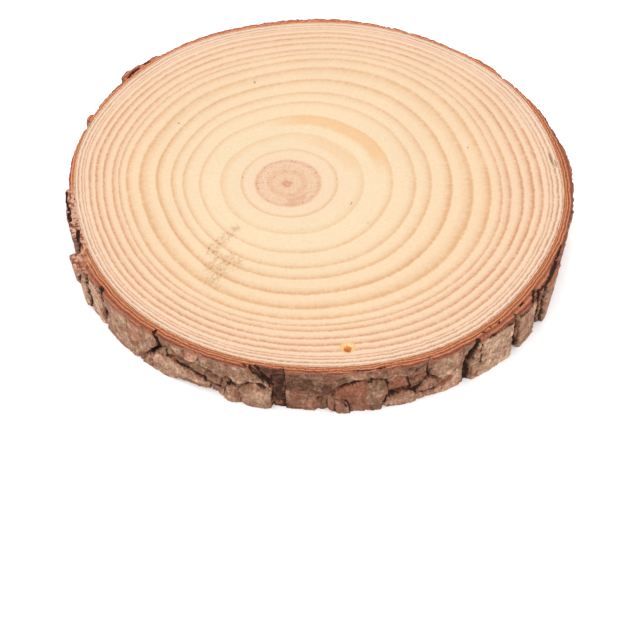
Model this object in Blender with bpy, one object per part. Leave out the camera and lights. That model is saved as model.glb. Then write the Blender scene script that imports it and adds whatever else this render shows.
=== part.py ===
"""A slice sawn square across a pine log, with its bark on and one small hole drilled through.

Metres, +Z up. The underside lies on z = 0 and the middle of the slice's box is over the origin.
Angles are degrees, counter-clockwise from +X about the middle of the wood.
Places on the bark are (angle, depth), with the depth in millimetres down from the top face.
"""
import math
import random

import bmesh
import bpy
import numpy as np
from mathutils import Vector, noise

MM = 0.001

# Driving dimensions
WOOD_RADIUS = 80.0 * MM
THICKNESS = 17.6 * MM
WOOD_MIDDLE = (-0.97 * MM, 0.59 * MM)
HOLE_RADIUS = 1.2 * MM
HOLE_PLACE = (8.5 * MM, -74.0 * MM)

# How far the wood's edge waves in and out round the trunk: waves, height in mm, angle of a crest
WOOD_WAVES = (
    (2, 1.16, 107.2),
    (3, 0.45, 28.4),
    (4, 0.23, 46.2),
    (5, 0.18, 9.0),
    (6, 0.18, 54.0),
    (7, 0.16, 29.5),
    (8, 0.21, 34.0),
)

# The bark's thickness in mm at angles round the slice
BARK_THICKNESS = (
    (-180, 1.7),
    (-168, 2.1),
    (-158, 2.8),
    (-149, 3.7),
    (-130, 3.5),
    (-112, 2.5),
    (-85, 2.4),
    (-70, 2.6),
    (-40, 5.0),
    (-27, 3.3),
    (-18, 2.4),
    (-11, 3.0),
    (1, 3.8),
    (12, 2.7),
    (36, 1.5),
    (43, 2.1),
    (50, 1.4),
    (65, 1.7),
    (95, 2.6),
    (125, 1.7),
    (142, 1.9),
    (168, 1.1),
    (180, 1.7),
)
BARK_LEAST = 0.5
DEPTH = THICKNESS / MM
# How many mm of arc a degree spans at the bark
DEGREE = math.radians(WOOD_RADIUS / MM + 2.6)

# Bark plates on the front: how proud in mm, and corners
PLATES = (
    (0.9, ((-173, -1), (-162, -1), (-163, 13), (-174, 15))),
    (0.5, ((-162, -1), (-157, -1), (-157, 19), (-163, 19))),
    (2.8, ((-152.5, -1), (-147.5, -1), (-148, 9), (-153, 9))),
    (0.8, ((-153, 9), (-148, 9), (-148.5, 19), (-153.5, 19))),
    (-0.4, ((-147.5, -1), (-142, -1), (-141, 9), (-142, 19), (-149, 19))),
    (0.2, ((-139, -1), (-124, -1), (-123, 4), (-126, 9), (-130, 19), (-141, 19))),
    (0.4, ((-131.2, -1), (-126.7, -1), (-127.3, 7.3), (-128.7, 9.3), (-131.7, 12.2))),
    (0.3, ((-121.8, -1), (-113.8, -1), (-114.3, 2.7), (-116.3, 4.1), (-118.1, 4.3), (-119, 2.9),
           (-119.8, 1.9), (-122.1, 3.5))),
    (-0.6, ((-121, 4.1), (-114, 5.1), (-111.5, 6.1), (-109.3, 9.1), (-109.8, 13), (-112.2, 12),
            (-113.5, 10), (-117.5, 9), (-121.5, 8))),
    (0.3, ((-125.3, 9), (-121.3, 7.5), (-117.3, 8.5), (-113.3, 10), (-111.9, 12.5), (-111.9, 19),
           (-129, 19))),
    (-0.7, ((-119, 16), (-110.5, 15.5), (-110, 19), (-120, 19))),
    (0.6, ((-117.2, 0.3), (-112.8, -1), (-114, 2.1), (-115.8, 4.4), (-116.9, 3.2))),
    (0.4, ((-113.8, -1), (-107.9, -1), (-107.7, 4.9), (-109.2, 7.9), (-110.2, 6.4), (-111.1, 4.6),
           (-113.5, 5.2))),
    (0.5, ((-107.9, -1), (-103.2, -1), (-101.2, 2.2), (-100.5, 5.2), (-103.4, 5.6), (-105.5, 8),
           (-106.7, 7.4), (-107.9, 5.5))),
    (1.0, ((-108.7, 13), (-107.9, 8.6), (-106.7, 8), (-105, 7.6), (-103.3, 5.8), (-101.6, 5.5),
           (-100.2, 7.6), (-99.1, 9.6), (-98.9, 19), (-109.1, 19))),
    (-1.0, ((-102.6, -1), (-96.4, -1), (-96.3, 3), (-99.3, 5), (-100.6, 3))),
    (-1.8, ((-99.2, 3), (-96.2, 2), (-96.3, 16.5), (-98.9, 16.5))),
    (-0.6, ((-99.1, 16), (-96.2, 16), (-96.2, 19), (-99, 19))),
    (-0.3, ((-96.4, -1), (-85, -1), (-86, 5), (-88, 9), (-93, 9.5), (-96, 9))),
    (0.1, ((-96, 9.2), (-93, 9.7), (-88, 9.2), (-88, 12.2), (-87.7, 19), (-96.2, 19))),
    (-0.5, ((-90.2, 9.8), (-88, 8.3), (-87.8, 19), (-90, 19))),
    (-0.1, ((-88, -1), (-74, -1), (-75.5, 2.9), (-80, 2.7), (-84.5, 3.7), (-87, 6))),
    (0.8, ((-88.1, 10.9), (-86.5, 6.4), (-84.3, 3), (-80.1, 2), (-77.1, 2.8), (-75.8, 7.8),
           (-77.1, 12.3), (-76.9, 19), (-86.6, 19), (-88.1, 13.9))),
    (1.0, ((-80.5, 2.2), (-77.1, 2.6), (-75.8, 7.6), (-77.1, 12.1), (-76.9, 19), (-80.5, 19))),
    (1.5, ((-86.7, 9.4), (-84.7, 9.7), (-83.8, 12.9), (-83.4, 19), (-86.5, 19))),
    (-1.3, ((-76.9, 2.8), (-72.6, 4.4), (-71.8, 7.8), (-71.9, 11), (-75.8, 11))),
    (0.7, ((-76.4, 11.4), (-71.6, 11), (-70.8, 13), (-70.2, 19), (-77.2, 19))),
    (0.2, ((-74.1, -1), (-68.7, -1), (-68.6, 5.9), (-70.3, 9.2), (-71.7, 10.3), (-72.7, 4.7))),
    (0.6, ((-71.2, 11.5), (-69.9, 9.6), (-68.5, 6.3), (-66.5, 9), (-66.1, 13), (-69.2, 12.8))),
    (0.3, ((-70.7, 14), (-66.2, 13.7), (-63.2, 11), (-61, 10.5), (-60.7, 19), (-70.7, 19))),
    (0.5, ((-68.1, -1), (-61.9, -1), (-61.6, 3.2), (-62.3, 8.2), (-63.5, 10.2), (-65.9, 8.8),
           (-68.3, 5.2))),
    (0.5, ((-58.8, -1), (-57, -1), (-56.7, 19), (-59.2, 19))),
    (0.5, ((-57.4, 0.6), (-48, 0.6), (-47.6, 7), (-47.6, 19), (-57.8, 19))),
    (-0.1, ((-56.8, -1), (-47.4, -1), (-47.7, 1.1), (-52, 1.5), (-56.2, 1.1))),
    (0.5, ((-46.4, 1.2), (-40.7, 1.2), (-39.4, 19), (-45.5, 19))),
    (0.0, ((-47, -1), (-41, -1), (-40.8, 2.2), (-44, 1.8), (-46.5, 2.4))),
    (1.3, ((-37.5, -1), (-29.5, -1), (-29.5, 19), (-36.5, 19))),
    (1.0, ((134, -1), (139, -1), (139, 7), (134.5, 6))),
    (1.7, ((139, -1), (142.5, -1), (142.5, 7.5), (139, 7))),
    (2.4, ((142.5, -1), (146.2, -1), (146.6, 7), (142.5, 7.5))),
    (1.6, ((161, -1), (163, -1), (164, 6), (160, 5))),
)

# Fissures on the front: width in mm at the first and last point, depth in mm there, and points
FISSURES = (
    (5.0, 3.5, 1.4, 2.2, ((-154.5, -1), (-154.5, 9), (-156, 19))),
    (3.6, 0.8, 1.4, 2.6, ((-140.3, -1), (-139.8, 9), (-141, 16))),
    (1.6, 1.8, 1.9, 3.0, ((-124.1, -1), (-123, 1.8), (-122.7, 4.6), (-124, 7.3), (-125.2, 9.4))),
    (0.8, 0.9, 1.2, 1.2, ((-125.4, 9.3), (-127, 12), (-129.3, 16.5))),
    (0.4, 0.5, 0.6, 0.6, ((-125.4, 10), (-125.7, 17))),
    (0.5, 1.3, 1.0, 1.2, ((-111.8, 11.6), (-112.3, 19))),
    (0.8, 0.8, 1.2, 1.2, ((-122.1, 4), (-120.8, 2.8), (-119.6, 2.6), (-118.8, 4.1), (-117.6, 4.9),
                          (-116.3, 4.6))),
    (0.7, 0.7, 0.8, 0.8, ((-121.4, 7.6), (-119.8, 6.9), (-118.2, 6.9))),
    (0.7, 1.1, 1.4, 1.4, ((-113.9, 5.6), (-112.9, 5.9), (-111.9, 5.1), (-110.7, 6.1), (-109.9, 8.1),
                          (-109.2, 8.8))),
    (0.8, 1.0, 1.4, 1.4, ((-109.1, 7.4), (-107.9, 6.4), (-107.2, 7.4), (-106.3, 8.3), (-105.4, 8.6))),
    (0.9, 0.5, 1.2, 0.8, ((-105.4, 8.6), (-104.2, 7), (-103.3, 5.9), (-101.6, 5.6))),
    (0.7, 0.8, 1.0, 1.0, ((-101.5, 5.7), (-100, 8), (-98.9, 10))),
    (0.3, 0.4, 0.4, 0.4, ((-105.5, 9), (-105.2, 17))),
    (1.0, 1.1, 1.0, 2.4, ((-103.3, -1), (-102.7, 0.2), (-101.4, 2.4), (-99.9, 4.6), (-99.1, 7.4))),
    (0.5, 1.0, 1.4, 1.4, ((-90.2, 10.6), (-88.1, 8.6), (-86.4, 6), (-84.5, 3.7), (-82.5, 2.7),
                          (-80.5, 2.5), (-78, 2.8), (-76.8, 3))),
    (0.5, 0.5, 0.6, 0.6, ((-88.3, 10), (-86.3, 7.3))),
    (0.5, 0.9, 0.9, 0.9, ((-85.4, 9.8), (-84.3, 13.3))),
    (0.5, 0.8, 1.0, 1.0, ((-77.1, 3), (-75.8, 8), (-77.1, 12.5), (-76.9, 19))),
    (1.1, 0.9, 1.4, 1.4, ((-71.7, 11.1), (-70.2, 9.6), (-69.2, 7.9), (-68.7, 6.5))),
    (0.6, 0.5, 0.7, 0.7, ((-72.9, 4.8), (-71.1, 1.8), (-69.6, 0.3))),
    (0.5, 0.5, 0.6, 0.6, ((-72.6, 5.1), (-70.3, 4.1), (-69, 4.1))),
    (0.7, 0.8, 1.0, 1.6, ((-68.3, -1), (-69, 0.7), (-68.7, 5), (-68.4, 6.3), (-67.1, 8),
                          (-65.7, 10))),
    (0.5, 0.9, 0.9, 0.9, ((-70.9, 13.3), (-68.8, 14), (-66.5, 14.1))),
    (1.2, 3.4, 1.2, 3.4, ((-57.9, -1), (-58.7, 0.4), (-59.6, 3.6), (-60.4, 7.6))),
    (3.4, 2.0, 3.4, 3.4, ((-60.4, 7.6), (-60.3, 12), (-60.1, 19))),
    (0.6, 0.7, 0.7, 0.7, ((-57.3, 2.6), (-57.5, 5.6))),
    (0.5, 0.8, 0.7, 0.7, ((-57.1, 7.1), (-56.9, 11.3))),
    (1.0, 2.2, 0.4, 3.0, ((-47.6, -0.6), (-47.5, 1.4))),
    (2.2, 2.0, 3.0, 3.0, ((-47.5, 1.4), (-47.2, 4.5), (-47.5, 8.3), (-46.8, 12.3), (-45.8, 19))),
    (2.4, 3.4, 0.8, 3.2, ((-39.5, -0.4), (-39.4, 1.6))),
    (3.4, 2.2, 3.2, 2.0, ((-39.4, 1.6), (-38.6, 8), (-38, 19))),
)

# The rest of the bark, round the sides and back, follows a rule with these limits. Its plates
# start a little below the top, where the saw has broken their lips away.
REST_FROM = -31.0
REST_TO = 186.0
REST_STEP = (7.0, 13.0)
REST_PROUD = (-0.6, 0.8)
REST_LIP = (1.2, 3.6)
REST_HIGH = 0.35
REST_PINCH = 0.5
REST_WIDTH = (1.4, 3.4)
REST_FISSURE = 2.4
REST_CROSS = (5.0, 13.0)
REST_WANDER = 1.1
REST_LEVELS = (-1.0, 6.0, 12.0, 19.0)
REST_SEED = 12

PLATE_EDGE = 1.4
ROUGHNESS = 0.22
ROUGH_SIZE = 4.0

# The solid's own grid: sides round the slice, and bands down its edge
SIDES = 360
BANDS = 9


def clear_scene():
    for item in list(bpy.data.objects):
        bpy.data.objects.remove(item)


def make_collection(name):
    group = bpy.data.collections.new(name)
    bpy.context.scene.collection.children.link(group)
    return group


def make_material(name, colour, roughness):
    material = bpy.data.materials.new(name)
    material.use_nodes = True
    shader = material.node_tree.nodes["Principled BSDF"]
    shader.inputs["Base Color"].default_value = (*colour, 1.0)
    shader.inputs["Roughness"].default_value = roughness
    shader.inputs["Metallic"].default_value = 0.0
    return material


def wood_edge(angle):
    """The wood's radius in metres at an angle in degrees."""
    radius = np.full_like(angle, WOOD_RADIUS)
    for waves, height, crest in WOOD_WAVES:
        radius += height * MM * np.cos(np.radians(waves * (angle - crest)))
    return radius


def bark_thickness(angle):
    """The bark's mean thickness in mm at an angle, eased between the stations round the slice."""
    stations = np.array(BARK_THICKNESS, dtype=float)
    turned = (angle + 180.0) % 360.0 - 180.0
    place = np.clip(np.searchsorted(stations[:, 0], turned, side="right") - 1, 0, len(stations) - 2)
    start = stations[place]
    end = stations[place + 1]
    share = (turned - start[:, 0]) / (end[:, 0] - start[:, 0])
    ease = 0.5 - 0.5 * np.cos(np.pi * share)
    return start[:, 1] + (end[:, 1] - start[:, 1]) * ease


def smooth_step(low, high, value):
    share = np.clip((value - low) / (high - low), 0.0, 1.0)
    return share * share * (3.0 - 2.0 * share)


def along(x, y, start, end):
    """How far along a straight stretch each point lies, from 0 to 1, and its distance from it."""
    run = end[0] - start[0]
    drop = end[1] - start[1]
    share = np.clip(((x - start[0]) * run + (y - start[1]) * drop) / (run * run + drop * drop), 0.0, 1.0)
    return share, np.hypot(x - start[0] - share * run, y - start[1] - share * drop)


def inside_by(x, y, corners):
    """How far inside an outline each point lies, in mm, and less than 0 outside it."""
    nearest = np.full_like(x, 1e9)
    inside = np.zeros(x.shape, dtype=bool)
    for start, end in zip(corners, corners[1:] + corners[:1]):
        nearest = np.minimum(nearest, along(x, y, start, end)[1])
        if start[1] != end[1]:
            crossing = start[0] + (y - start[1]) / (end[1] - start[1]) * (end[0] - start[0])
            between = (start[1] > y) != (end[1] > y)
            inside ^= between & (x < crossing)
    return np.where(inside, nearest, -nearest)


def unrolled(points):
    return tuple((angle * DEGREE, depth) for angle, depth in points)


def rest_of_bark():
    """Plates and fissures for the sides and back: long fissures, with a cross crack between most."""
    draw = random.Random(REST_SEED)
    plates = []
    fissures = []
    angle = REST_FROM
    left = [(angle, depth) for depth in REST_LEVELS]
    while angle < REST_TO - REST_STEP[1]:
        angle += draw.uniform(*REST_STEP)
        right = [(angle + draw.uniform(-REST_WANDER, REST_WANDER), depth) for depth in REST_LEVELS]
        width = draw.uniform(*REST_WIDTH)
        if draw.random() < REST_HIGH:
            top = REST_LIP[0]
        else:
            top = draw.uniform(*REST_LIP)
        end = width * draw.uniform(0.4, 1.2)
        start = width * REST_PINCH
        fissures.append((start, end, REST_FISSURE, REST_FISSURE, ((right[0][0], top), *right[1:])))
        split = draw.uniform(*REST_CROSS)
        slope = draw.uniform(-2.0, 2.0)
        lip = draw.uniform(*REST_LIP)
        high = ((left[0][0], lip), (right[0][0], lip), (right[1][0], split + slope),
                (left[-2][0], split - slope))
        low = ((left[-2][0], split - slope), (right[2][0], split + slope), right[-1], left[-1])
        plates.append((draw.uniform(*REST_PROUD), high))
        plates.append((draw.uniform(*REST_PROUD), low))
        left = right
    return tuple(plates), tuple(fissures)


def lift(angle, depth):
    """How far the bark stands out from its mean surface, in mm, at each (angle, depth)."""
    rest_plates, rest_fissures = rest_of_bark()
    height = np.zeros_like(angle)
    gap = np.zeros_like(angle)
    for turn in (0.0, 360.0):
        x = (angle + turn) * DEGREE
        for proud, corners in rest_plates + PLATES:
            cover = smooth_step(-0.5 * PLATE_EDGE, 0.5 * PLATE_EDGE, inside_by(x, depth, unrolled(corners)))
            height += (proud - height) * cover
        for first, last, start_deep, end_deep, points in FISSURES + rest_fissures:
            stretches = list(zip(unrolled(points), unrolled(points)[1:]))
            for number, (start, end) in enumerate(stretches):
                share, distance = along(x, depth, start, end)
                reached = (number + share) / len(stretches)
                half = np.maximum(0.5 * (first + (last - first) * reached), 0.5 * PLATE_EDGE)
                deep = start_deep + (end_deep - start_deep) * reached
                gap = np.maximum(gap, deep * (1.0 - smooth_step(0.3, 1.2, distance / half)))
    return height - gap


def roughness(angle, depth):
    """The bark's small lumps in mm."""
    lumps = np.empty_like(angle)
    for number, (turn, down) in enumerate(zip(np.radians(angle), depth)):
        around = WOOD_RADIUS / MM / ROUGH_SIZE
        place = Vector((math.cos(turn) * around, math.sin(turn) * around, down / ROUGH_SIZE))
        lumps[number] = noise.fractal(place, 1.0, 2.0, 3)
    return lumps * ROUGHNESS


def bark_edge(angle, depth):
    """The slice's radius over the bark, in metres, at each (angle, depth)."""
    thick = bark_thickness(angle)
    out = thick + lift(angle, depth) + roughness(angle, depth)
    return wood_edge(angle) + np.maximum(out, np.minimum(BARK_LEAST, thick)) * MM


def shape_slice(mesh):
    """A disc cut into bands, each of its points then moved out or in to the bark's surface."""
    bmesh.ops.create_cone(
        mesh, cap_ends=True, segments=SIDES, radius1=WOOD_RADIUS, radius2=WOOD_RADIUS, depth=THICKNESS)
    bmesh.ops.translate(mesh, verts=mesh.verts, vec=(0.0, 0.0, 0.5 * THICKNESS))
    for band in range(1, BANDS):
        level = Vector((0.0, 0.0, THICKNESS * band / BANDS))
        everything = mesh.verts[:] + mesh.edges[:] + mesh.faces[:]
        bmesh.ops.bisect_plane(mesh, geom=everything, plane_co=level, plane_no=(0.0, 0.0, 1.0))
    places = np.array([point.co for point in mesh.verts])
    turn = np.arctan2(places[:, 1], places[:, 0])
    radius = bark_edge(np.degrees(turn), DEPTH - places[:, 2] / MM)
    for point, angle, reach in zip(mesh.verts, turn, radius):
        point.co.x = WOOD_MIDDLE[0] + reach * math.cos(angle)
        point.co.y = WOOD_MIDDLE[1] + reach * math.sin(angle)
    for face in mesh.faces:
        if abs(face.normal.z) < 0.9:
            face.material_index = 1


def make_slice(group):
    data = bpy.data.meshes.new("wood_slice")
    mesh = bmesh.new()
    shape_slice(mesh)
    mesh.to_mesh(data)
    mesh.free()
    data.materials.append(make_material("pine end grain", (0.87, 0.68, 0.45), 0.7))
    data.materials.append(make_material("pine bark", (0.27, 0.16, 0.10), 0.9))
    wood = bpy.data.objects.new("wood_slice", data)
    group.objects.link(wood)
    return wood


def drill_hole(wood, cutters):
    """One plain hole, straight through the wood near its edge."""
    place = (WOOD_MIDDLE[0] + HOLE_PLACE[0], WOOD_MIDDLE[1] + HOLE_PLACE[1], 0.5 * THICKNESS)
    bpy.ops.mesh.primitive_cylinder_add(
        vertices=16, radius=HOLE_RADIUS, depth=2.0 * THICKNESS, location=place)
    drill = bpy.context.object
    drill.name = "hole_drill"
    for group in list(drill.users_collection):
        group.objects.unlink(drill)
    cutters.objects.link(drill)
    drill.hide_render = True
    drill.display_type = "WIRE"
    cut = wood.modifiers.new("hole", "BOOLEAN")
    cut.operation = "DIFFERENCE"
    cut.object = drill


clear_scene()
slice_group = make_collection("wood slice")
cutter_group = make_collection("cutters")
slice_object = make_slice(slice_group)
drill_hole(slice_object, cutter_group)
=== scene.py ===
"""How the pine slice looks: end grain, drilled hole and bark, on a pale floor in soft light.

Metres, +Z up, in the frame of the solid model. Angles are degrees, counter-clockwise from +X
about the middle of the wood, unless a comment says otherwise.
"""
import itertools
import math
import random
from types import SimpleNamespace

import bmesh
import bpy
import numpy as np
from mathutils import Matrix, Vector, noise


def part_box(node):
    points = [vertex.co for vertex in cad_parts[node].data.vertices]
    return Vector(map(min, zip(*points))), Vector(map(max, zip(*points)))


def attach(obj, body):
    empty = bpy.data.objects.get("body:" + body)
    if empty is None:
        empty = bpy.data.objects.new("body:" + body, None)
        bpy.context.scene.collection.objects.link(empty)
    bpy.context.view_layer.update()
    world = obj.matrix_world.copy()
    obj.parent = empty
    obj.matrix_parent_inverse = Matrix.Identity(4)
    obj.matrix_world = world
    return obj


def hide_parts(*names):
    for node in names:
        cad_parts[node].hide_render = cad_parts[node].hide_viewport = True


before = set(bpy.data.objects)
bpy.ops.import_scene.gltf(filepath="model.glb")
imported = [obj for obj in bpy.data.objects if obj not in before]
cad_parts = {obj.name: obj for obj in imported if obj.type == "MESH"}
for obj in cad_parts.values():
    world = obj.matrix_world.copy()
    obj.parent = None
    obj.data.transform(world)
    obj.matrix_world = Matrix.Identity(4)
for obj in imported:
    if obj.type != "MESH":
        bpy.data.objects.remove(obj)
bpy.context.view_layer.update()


# The wood
# A round of pine end grain, sawn square and sanded. Its rings grew out from a pith that sits off
# the middle, and they bulge and dip together, so the mesh is laid out along the rings.
MM = 0.001
WOOD_RADIUS = 80.0 * MM
WOOD_MIDDLE = np.array((-0.97 * MM, 0.59 * MM))
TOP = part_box("wood_slice")[1].z
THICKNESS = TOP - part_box("wood_slice")[0].z
# The pith, from the middle of the wood, and how fast the rings centre themselves on the way out
PITH = np.array((-9.9 * MM, -7.6 * MM))
PITH_DRIFT = 1.6

# How far the wood's edge waves in and out: waves round the trunk, height in mm, angle of a crest
WOOD_WAVES = (
    (2, 1.16, 107.2),
    (3, 0.45, 28.4),
    (4, 0.23, 46.2),
    (5, 0.18, 9.0),
    (6, 0.18, 54.0),
    (7, 0.16, 29.5),
    (8, 0.21, 34.0),
)

# Where the rings bulge out or dip in: angle, spread, height in mm, share of the radius at the peak
RING_BULGES = (
    (20, 26, -2.4, 0.72),
    (-150, 22, -2.4, 0.62),
    (-95, 22, 1.3, 0.66),
    (112, 24, -2.4, 0.72),
    (55, 18, 2.2, 0.72),
    (-60, 20, -0.8, 0.75),
    (-25, 14, 1.4, 0.80),
    (-45, 13, 1.0, 0.72),
    (-18, 10, -1.0, 0.62),
    (90, 26, 1.2, 0.70),
    (155, 24, -1.8, 0.66),
    (15, 22, 1.0, 0.44),
    (-100, 26, -0.6, 0.46),
    (52, 14, 0.3, 0.90),
    (-92, 18, -0.6, 0.90),
    (-178, 14, 0.4, 0.74),
    (120, 16, -1.6, 0.34),
    (-135, 20, -0.5, 0.50),
    (165, 18, -1.4, 0.44),
)

# Each year's late wood: where it ends as a share of the way out, how wide it is, how dark it is
YEARS = (
    (0.199, 0.020, 1.00),
    (0.297, 0.040, 0.85),
    (0.402, 0.030, 0.90),
    (0.487, 0.034, 0.90),
    (0.546, 0.036, 0.95),
    (0.625, 0.040, 1.00),
    (0.702, 0.050, 1.00),
    (0.760, 0.034, 1.00),
    (0.795, 0.018, 0.90),
    (0.825, 0.026, 1.00),
    (0.866, 0.021, 1.00),
    (0.902, 0.024, 1.00),
    (0.931, 0.019, 1.00),
    (0.9525, 0.008, 0.85),
    (0.965, 0.009, 0.95),
    (0.983, 0.011, 1.00),
    (0.997, 0.008, 0.90),
)
# A year's dark edge falls off within this share of the way out
YEAR_FALL = 0.0035
# Shares that bound runs of years few enough for one colour ramp each
YEAR_GROUPS = ((0.0, 0.50), (0.50, 0.80), (0.80, 0.91), (0.91, 1.01))

# Steps of the mesh from pith to edge, and round
RING_STEPS = 60
TURN_STEPS = 360


def wood_edge(angle):
    """The wood's radius at angles in degrees."""
    radius = np.full_like(angle, WOOD_RADIUS)
    for waves, height, crest in WOOD_WAVES:
        radius += height * MM * np.cos(np.radians(waves * (angle - crest)))
    return radius


def grown(share, angle):
    """Where the wood has grown to, at a share of the way from pith to edge and at an angle."""
    reach = share * wood_edge(angle)
    for middle, spread, height, peak in RING_BULGES:
        rise = np.where(share < peak, (share / peak) ** 3, np.clip((1.0 - share) / (1.0 - peak), 0.0, 1.0))
        away = (angle - middle + 180.0) % 360.0 - 180.0
        reach += height * MM * rise * np.exp(-0.5 * (away / spread) ** 2)
    centre = WOOD_MIDDLE + PITH * (1.0 - share[:, None] ** PITH_DRIFT)
    turn = np.radians(angle)
    return centre + reach[:, None] * np.stack((np.cos(turn), np.sin(turn)), axis=1)


def to_object(name, mesh):
    """An object in the scene, made of a finished bmesh."""
    data = bpy.data.meshes.new(name)
    mesh.to_mesh(data)
    mesh.free()
    item = bpy.data.objects.new(name, data)
    bpy.context.scene.collection.objects.link(item)
    return item


def new_piece(name, mesh):
    """A piece of the slice, riding on the part's one body."""
    piece = to_object(name, mesh)
    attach(piece, "root")
    return piece


def roll_profile(mesh, profile, steps, closed):
    """A grid rolled round the Z axis, with each row at its (radius, height), welded where it meets."""
    rows = len(profile) if closed else len(profile) - 1
    bmesh.ops.create_grid(mesh, x_segments=steps, y_segments=rows, size=0.5)
    for point in mesh.verts:
        radius, height = profile[round((point.co.y + 0.5) * rows) % len(profile)]
        turn = 2.0 * math.pi * point.co.x
        point.co = (radius * math.cos(turn), radius * math.sin(turn), height)
    bmesh.ops.remove_doubles(mesh, verts=mesh.verts, dist=1e-7)
    bmesh.ops.recalc_face_normals(mesh, faces=mesh.faces)


def wrap_growth_map(mesh, layer_name):
    """A UV map of (turn, share of the way out), read from a mesh that is still a plain round."""
    layer = mesh.loops.layers.uv.new(layer_name)
    for face in mesh.faces:
        middle = face.calc_center_median()
        facing = math.atan2(middle.y, middle.x)
        for corner in face.loops:
            place = corner.vert.co
            share = math.hypot(place.x, place.y)
            turn = math.atan2(place.y, place.x) if share > 1e-6 else facing
            turn += 2.0 * math.pi * round((facing - turn) / (2.0 * math.pi))
            corner[layer].uv = (turn / (2.0 * math.pi) + 0.5, share)


def build_wood():
    mesh = bmesh.new()
    shares = [step / RING_STEPS for step in range(RING_STEPS + 1)]
    profile = [(share, THICKNESS) for share in shares] + [(share, 0.0) for share in reversed(shares)]
    roll_profile(mesh, profile, TURN_STEPS, closed=False)
    wrap_growth_map(mesh, "growth")
    flat = np.array([point.co for point in mesh.verts])
    share = np.hypot(flat[:, 0], flat[:, 1])
    places = grown(share, np.degrees(np.arctan2(flat[:, 1], flat[:, 0])))
    for point, place in zip(mesh.verts, places):
        point.co.x = place[0]
        point.co.y = place[1]
    return new_piece("wood_round", mesh)


wood = build_wood()
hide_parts("wood_slice")


# The drilled hole
# A 2.4 mm hole bored through near the front edge. The drill has lifted a ragged ring of wood
# round its mouth, and the bore shows deep orange.
HOLE_RADIUS = 1.2 * MM
HOLE_MIDDLE = WOOD_MIDDLE + np.array((8.5 * MM, -74.0 * MM))
HOLE_SIDES = 28
HOLE_SEED = 5

# The mouth: its radius, the shallow dish round it, how far down it narrows, and how ragged it is
MOUTH_RADIUS = 2.15 * MM
MOUTH_DISH = 0.78
MOUTH_LIP = 0.12 * MM
MOUTH_DEPTH = 0.8 * MM
MOUTH_RAGGED = 0.16
MOUTH_RAGGED_SIZE = 1.1 * MM


def build_drill():
    """The cutter: a bore with a shallow ragged mouth at the top."""
    mesh = bmesh.new()
    over = 1.0 * MM
    profile = (
        (0.0, THICKNESS + over),
        (MOUTH_RADIUS * 1.3, THICKNESS + over),
        (MOUTH_RADIUS, THICKNESS),
        (MOUTH_RADIUS * MOUTH_DISH, THICKNESS - MOUTH_LIP),
        (HOLE_RADIUS, THICKNESS - MOUTH_DEPTH),
        (HOLE_RADIUS, 0.5 * THICKNESS),
        (HOLE_RADIUS, -over),
        (0.0, -over),
    )
    roll_profile(mesh, profile, HOLE_SIDES, closed=False)
    for point in mesh.verts:
        if point.co.z > THICKNESS - 1.5 * MOUTH_DEPTH:
            place = Vector((point.co.x, point.co.y, 0.0)) / MOUTH_RAGGED_SIZE
            ragged = noise.noise(place + Vector((HOLE_SEED, 0.0, 0.0)))
            point.co.xy *= 1.0 + MOUTH_RAGGED * ragged
    bmesh.ops.translate(mesh, verts=mesh.verts, vec=(*HOLE_MIDDLE, 0.0))
    return to_object("drill", mesh)


def cut_with(piece, cutter):
    """Cuts a piece for good, and takes the cutter away."""
    cut = piece.modifiers.new("hole", "BOOLEAN")
    cut.operation = "DIFFERENCE"
    cut.object = cutter
    bpy.context.view_layer.update()
    seen = piece.evaluated_get(bpy.context.evaluated_depsgraph_get())
    data = bpy.data.meshes.new_from_object(seen)
    piece.modifiers.clear()
    piece.data = data
    bpy.data.objects.remove(cutter)


cut_with(wood, build_drill())


# The wood's finish
# Sanded end grain: cream early wood, orange-tan late wood that darkens to each year's outer edge,
# a pink heart with resin dots, and the stains and small marks of this one slice.

# How many times brighter than its colour a surface shows in the scene's light
LIGHT_LEVEL = 1.58

# Early wood, by the share of the way out, with the fine rings of the heart
HEART_COLOURS = (
    (0.000, (238, 172, 136)),
    (0.008, (240, 184, 150)),
    (0.013, (206, 138, 102)),
    (0.018, (236, 186, 150)),
    (0.024, (248, 204, 168)),
    (0.029, (240, 192, 156)),
    (0.034, (252, 214, 178)),
    (0.040, (242, 196, 160)),
    (0.046, (251, 213, 177)),
    (0.053, (243, 198, 161)),
    (0.056, (248, 209, 172)),
    (0.064, (240, 192, 154)),
    (0.073, (243, 198, 160)),
    (0.080, (242, 198, 162)),
    (0.088, (251, 214, 178)),
    (0.098, (247, 206, 172)),
    (0.108, (251, 212, 178)),
    (0.122, (246, 204, 170)),
    (0.131, (238, 190, 154)),
    (0.138, (252, 216, 182)),
    (0.143, (254, 223, 189)),
    (0.300, (254, 228, 190)),
    (0.560, (254, 224, 185)),
    (0.780, (254, 221, 183)),
    (0.860, (254, 218, 183)),
    (0.940, (254, 219, 186)),
    (1.000, (255, 224, 196)),
)
# Late wood at the years' ends
LATE_COLOURS = (
    (0.199, (240, 198, 152)),
    (0.297, (246, 208, 163)),
    (0.402, (242, 197, 152)),
    (0.487, (240, 193, 148)),
    (0.546, (237, 188, 142)),
    (0.624, (234, 179, 131)),
    (0.702, (236, 184, 135)),
    (0.757, (235, 180, 133)),
    (0.792, (231, 174, 132)),
    (0.820, (229, 171, 127)),
    (0.861, (222, 160, 119)),
    (0.898, (221, 159, 116)),
    (0.928, (221, 159, 120)),
    (0.957, (219, 162, 126)),
    (0.981, (204, 146, 108)),
    (0.996, (192, 129, 92)),
)
# The rings are fainter on the far side, which grew slower
FAINT_SIDE = 80.0
FAINTNESS = 0.30

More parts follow.
